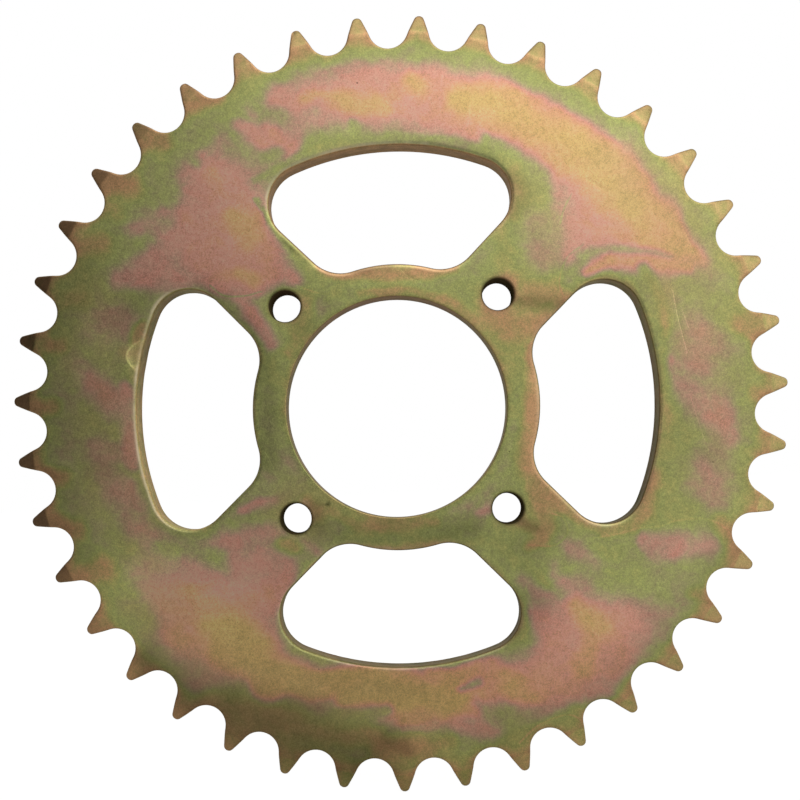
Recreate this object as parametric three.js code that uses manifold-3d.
// Rear sprocket for a motorcycle: one flat steel plate with a ring of chain teeth, a round hub bore,
// four bolt holes and four lightening windows between its spokes.
//
// Frame: millimetres. The wheel axis is Y and the outer (bolt head) face looks towards -Y.
// +Z is up and +X is to the right of someone facing the outer face. The origin is the centre of the
// bore, halfway through the plate. Angles are measured from +X towards +Z.
// Outlines are drawn flat, as (x, z) held in a Vector2.
import * as THREE from 'three';
import { mergeVertices } from 'three/addons/utils/BufferGeometryUtils.js';
import Module from 'manifold-3d';

const { degToRad } = THREE.MathUtils;

// ---- chain and teeth (520 roller chain) ----
const CHAIN_PITCH = 15.875;
const ROLLER_DIAMETER = 10.16;
const TEETH = 39;
const PITCH_ANGLE = (2 * Math.PI) / TEETH;
const PITCH_RADIUS = CHAIN_PITCH / (2 * Math.sin(PITCH_ANGLE / 2));
const ROOT_RADIUS = PITCH_RADIUS - ROLLER_DIAMETER / 2;
const SEAT_RADIUS = 5.22; // roller seat, a little over half a roller
const SEAT_HALF_ANGLE = degToRad(67.3); // seat on each side of the gap's centre line
const FLANK_RADIUS = 120; // slightly convex flank above the seat
const TIP_RADIUS = 102.7;
const TIP_CORNER_RADIUS = 1.3;
const TOOTH_CLOCKING = degToRad(0.706); // from +X to the centre of the nearest tooth

// ---- side bevel of the teeth, the same on both faces ----
const BEVEL_START_RADIUS = 97.9;
const BEVEL_DEPTH = 1.5; // taken off each face at the tip

// ---- plate ----
const THICKNESS = 5.9;
const BORE_RADIUS = 29.15;

// ---- spokes, each with a bolt hole on its centre line ----
const SPOKES = 4;
const SPOKE_SPACING = (2 * Math.PI) / SPOKES;
const FIRST_SPOKE_ANGLE = SPOKE_SPACING / 2;
const SPOKE_HALF_WIDTH = 13.15; // spoke side to the spoke's centre line
const BOLT_CIRCLE_DIAMETER = 79.4;
const BOLT_HOLE_RADIUS = 4.1;

// ---- lightening windows, two concentric arcs joined by two straight spoke sides ----
const WINDOW_OUTER_RADIUS = 68.9;
const WINDOW_INNER_RADIUS = 37.85;
const WINDOW_OUTER_FILLET = 10.05;
const WINDOW_INNER_FILLET = 10.3;
// The four sit a little unevenly: angle in degrees, then shift along x and z.
const WINDOWS = [
  { angle: -1.9, x: 0, z: 0.35 },
  { angle: 89.1, x: 0.05, z: -0.25 },
  { angle: 177.2, x: -0.3, z: -0.5 },
  { angle: 267.9, x: 0.3, z: 0 },
];

// ---- facets; those of the gap and the window are for the half that gets mirrored ----
const GAP_SEGMENTS = { seat: 5, flank: 2, tipCorner: 2 };
const WINDOW_SEGMENTS = { outerArc: 7, outerFillet: 8, innerFillet: 6, innerArc: 5 };
const BORE_SEGMENTS = 72;
const HOLE_SEGMENTS = 24;
const BEVEL_SEGMENTS = TEETH * 4;

// ---- outline helpers ----
const ORIGIN = new THREE.Vector2(0, 0);

const polar = (radius, angle) => (
  new THREE.Vector2(radius * Math.cos(angle), radius * Math.sin(angle))
);

// Points of an arc, without its first point.
function arc(centre, radius, from, to, segments) {
  const points = [];
  for (let i = 1; i <= segments; i++) {
    points.push(polar(radius, from + ((to - from) * i) / segments).add(centre));
  }
  return points;
}

// A full circle, with the middle of a facet at angle 0.
function circle(centre, radius, segments) {
  const start = -Math.PI / segments;
  return arc(centre, radius, start, start + 2 * Math.PI, segments);
}

// The other half of an outline symmetric about +X: reversed, and without the two shared ends.
const mirrored = (half) => (
  half.slice(1, -1).reverse().map((point) => new THREE.Vector2(point.x, -point.y))
);

// ---- teeth ----
// Half a tooth gap: from the root, on the gap's centre line (+X), to the middle of the tooth tip.
function halfGap() {
  const seatCentre = new THREE.Vector2(ROOT_RADIUS + SEAT_RADIUS, 0);
  const seatEndAngle = Math.PI - SEAT_HALF_ANGLE;
  // the flank leaves the seat along its tangent and bends the other way
  const flankCentre = polar(SEAT_RADIUS + FLANK_RADIUS, seatEndAngle).add(seatCentre);

  // the tip corner touches the flank arc and the tip circle from inside, so its centre is
  // where two circles cross: one about the origin and one about the flank centre
  const fromOrigin = TIP_RADIUS - TIP_CORNER_RADIUS;
  const fromFlank = FLANK_RADIUS - TIP_CORNER_RADIUS;
  const distance = flankCentre.length();
  const along = (fromOrigin ** 2 - fromFlank ** 2 + distance ** 2) / (2 * distance);
  const across = Math.sqrt(fromOrigin ** 2 - along ** 2);
  const cornerCentre = new THREE.Vector2(along, -across).rotateAround(ORIGIN, flankCentre.angle());

  const cornerOffset = cornerCentre.clone().sub(flankCentre);
  const flankEndAngle = Math.atan2(cornerOffset.y, cornerOffset.x);
  const tipStartAngle = Math.atan2(cornerCentre.y, cornerCentre.x);
  return [
    new THREE.Vector2(ROOT_RADIUS, 0),
    ...arc(seatCentre, SEAT_RADIUS, Math.PI, seatEndAngle, GAP_SEGMENTS.seat),
    ...arc(flankCentre, FLANK_RADIUS, -SEAT_HALF_ANGLE, flankEndAngle, GAP_SEGMENTS.flank),
    ...arc(cornerCentre, TIP_CORNER_RADIUS, flankEndAngle, tipStartAngle, GAP_SEGMENTS.tipCorner),
    polar(TIP_RADIUS, PITCH_ANGLE / 2),
  ];
}

function toothOutline() {
  const half = halfGap();
  const gap = [...mirrored(half), ...half];
  const outline = [];
  for (let i = 0; i < TEETH; i++) {
    const gapAngle = TOOTH_CLOCKING + (i + 0.5) * PITCH_ANGLE;
    outline.push(...gap.map((point) => point.clone().rotateAround(ORIGIN, gapAngle)));
  }
  return outline;
}

// ---- windows ----
// Centre of a window fillet: so far from the origin, and so far to the window's side of the
// first spoke's centre line.
function filletCentre(fromOrigin, fromSpokeLine) {
  const alongSpoke = Math.sqrt(fromOrigin ** 2 - fromSpokeLine ** 2);
  return new THREE.Vector2(alongSpoke, -fromSpokeLine).rotateAround(ORIGIN, FIRST_SPOKE_ANGLE);
}

// Half a window, from the middle of its outer arc (on +X) to the middle of its inner arc.
function halfWindow() {
  const outerCentre = filletCentre(
    WINDOW_OUTER_RADIUS - WINDOW_OUTER_FILLET,
    SPOKE_HALF_WIDTH + WINDOW_OUTER_FILLET,
  );
  const innerCentre = filletCentre(
    WINDOW_INNER_RADIUS + WINDOW_INNER_FILLET,
    SPOKE_HALF_WIDTH + WINDOW_INNER_FILLET,
  );
  const outerAngle = outerCentre.angle();
  const innerAngle = innerCentre.angle();
  const towardsSpoke = FIRST_SPOKE_ANGLE + Math.PI / 2;
  const { outerArc, outerFillet, innerFillet, innerArc } = WINDOW_SEGMENTS;
  return [
    polar(WINDOW_OUTER_RADIUS, 0),
    ...arc(ORIGIN, WINDOW_OUTER_RADIUS, 0, outerAngle, outerArc),
    ...arc(outerCentre, WINDOW_OUTER_FILLET, outerAngle, towardsSpoke, outerFillet),
    ...arc(innerCentre, WINDOW_INNER_FILLET, towardsSpoke, Math.PI + innerAngle, innerFillet),
    ...arc(ORIGIN, WINDOW_INNER_RADIUS, innerAngle, 0, innerArc),
  ];
}

function windowOutline({ angle, x, z }) {
  const half = halfWindow();
  const shift = new THREE.Vector2(x, z);
  return [...half, ...mirrored(half)].map((point) => (
    point.rotateAround(ORIGIN, degToRad(angle)).add(shift)
  ));
}

// ---- solids ----
// The flat plate with its teeth, bore, bolt holes and windows, extruded along Y.
function flatPlate() {
  const holes = [circle(ORIGIN, BORE_RADIUS, BORE_SEGMENTS)];
  for (let i = 0; i < SPOKES; i++) {
    const centre = polar(BOLT_CIRCLE_DIAMETER / 2, FIRST_SPOKE_ANGLE + i * SPOKE_SPACING);
    holes.push(circle(centre, BOLT_HOLE_RADIUS, HOLE_SEGMENTS));
  }
  holes.push(...WINDOWS.map(windowOutline));

  const shape = new THREE.Shape(toothOutline());
  shape.holes = holes.map((outline) => new THREE.Path(outline));
  const plate = new THREE.ExtrudeGeometry(shape, {
    depth: THICKNESS,
    bevelEnabled: false,
    curveSegments: 1,
  });
  plate.translate(0, 0, -THICKNESS / 2);
  plate.rotateX(Math.PI / 2);
  return plate;
}

// A disc whose rim is coned on both faces: what it keeps of the plate is the plate with bevelled
// tooth tips. It stands clear of the plate's faces and tips so that only the cones cut.
function bevelDisc() {
  const faceClearance = 1;
  const rimClearance = 0.8;
  const slope = BEVEL_DEPTH / (TIP_RADIUS - BEVEL_START_RADIUS);
  const discHalf = THICKNESS / 2 + faceClearance;
  const coneStartRadius = BEVEL_START_RADIUS - faceClearance / slope;
  const rimRadius = TIP_RADIUS + rimClearance;
  const rimHalf = THICKNESS / 2 - BEVEL_DEPTH - rimClearance * slope;
  const profile = [
    new THREE.Vector2(0, -discHalf),
    new THREE.Vector2(coneStartRadius, -discHalf),
    new THREE.Vector2(rimRadius, -rimHalf),
    new THREE.Vector2(rimRadius, rimHalf),
    new THREE.Vector2(coneStartRadius, discHalf),
    new THREE.Vector2(0, discHalf),
  ];
  const disc = new THREE.LatheGeometry(profile, BEVEL_SEGMENTS);
  // the lathe starts at +Z; turn that facet edge to the middle of a tooth
  disc.rotateY(Math.PI / 2 - TOOTH_CLOCKING);
  return disc;
}

const wasm = await Module();
wasm.setup();

function toSolid(geometry) {
  // without normals and uvs, vertices at the same place merge and the surface closes
  geometry.deleteAttribute('normal');
  geometry.deleteAttribute('uv');
  const merged = mergeVertices(geometry, 1e-5);
  return new wasm.Manifold(new wasm.Mesh({
    numProp: 3,
    vertProperties: new Float32Array(merged.attributes.position.array),
    triVerts: new Uint32Array(merged.index.array),
  }));
}

function toGeometry(solid) {
  const mesh = solid.getMesh();
  const geometry = new THREE.BufferGeometry();
  geometry.setAttribute('position', new THREE.BufferAttribute(mesh.vertProperties, 3));
  geometry.setIndex(new THREE.BufferAttribute(mesh.triVerts, 1));
  geometry.computeVertexNormals();
  return geometry;
}

// ---- material and group ----
const steel = new THREE.MeshStandardMaterial({ color: 0x8a7a3c, roughness: 0.45, metalness: 0.85 });

function sprocketPlate() {
  const solid = toSolid(flatPlate()).intersect(toSolid(bevelDisc()));
  const plate = new THREE.Mesh(toGeometry(solid), steel);
  plate.name = 'sprocket_plate';
  return plate;
}

const sprocket = new THREE.Group();
sprocket.add(sprocketPlate());

export default sprocket;
